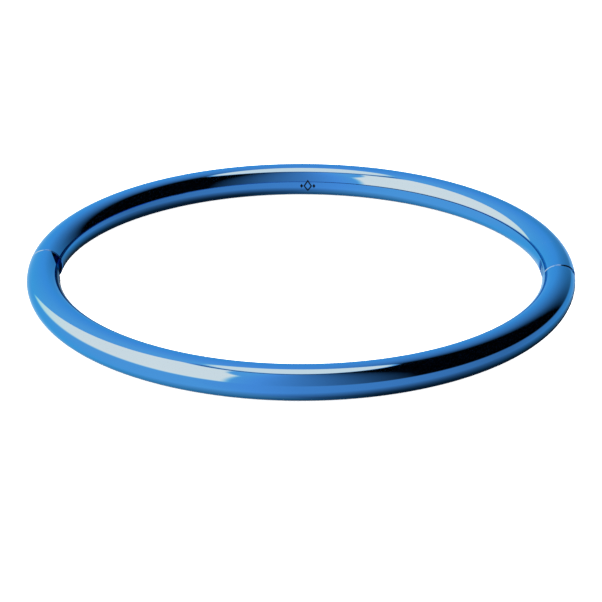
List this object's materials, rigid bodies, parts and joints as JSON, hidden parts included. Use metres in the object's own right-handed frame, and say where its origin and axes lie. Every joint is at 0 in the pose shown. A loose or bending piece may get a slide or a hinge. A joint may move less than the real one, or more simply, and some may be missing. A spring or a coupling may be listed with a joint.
{
  "type": "hinged bangle",
  "caption": "Slim round-tube bangle in mirror-polished blue metal that opens on a hidden hinge and closes on a spring latch with a thumb pad.",
  "frame": {"origin": "centre of the ring, at half the tube's height", "axes": "+Z along the ring's axis; the hinge is at -X, the clasp at +X, the fixed back half at +Y and the opening front half at -Y"},
  "size_m": [0.065, 0.065, 0.004],
  "materials": {
    "blue_polish": "mirror-polished steel with a transparent blue coating",
    "blue_insert": "machined and polished steel with the same blue coating",
    "spring_steel": "bright rolled strip",
    "pin_steel": "bright drawn wire"
  },
  "bodies": {
    "back_half": {"back_tube": "blue_polish", "back_hinge_plug": "blue_insert", "catch_plug": "blue_insert"},
    "front_half": {"front_tube": "blue_polish", "front_hinge_plug": "blue_insert", "hinge_pin": "pin_steel", "tongue_plug": "blue_insert", "latch_leaf": "spring_steel", "leaf_rivet": "pin_steel"},
    "release_pad": {"thumb_pad": "blue_insert"}
  },
  "joints": [
    {"name": "opening_hinge", "type": "hinge", "parent": "back_half", "child": "front_half", "pos_m": [-0.0315, -0.00367, 0], "axis": [0, 0, -1], "range_deg": [0, 60], "deforming": ["latch_leaf", "thumb_pad"]},
    {"name": "latch_press", "type": "hinge", "parent": "front_half", "child": "release_pad", "pos_m": [0.0296, 0.00427, 0], "axis": [0, 0, 1], "range_deg": [0, 6.5], "stiffness_Nm_per_rad": 0.13, "deforming": ["latch_leaf"]}
  ]
}
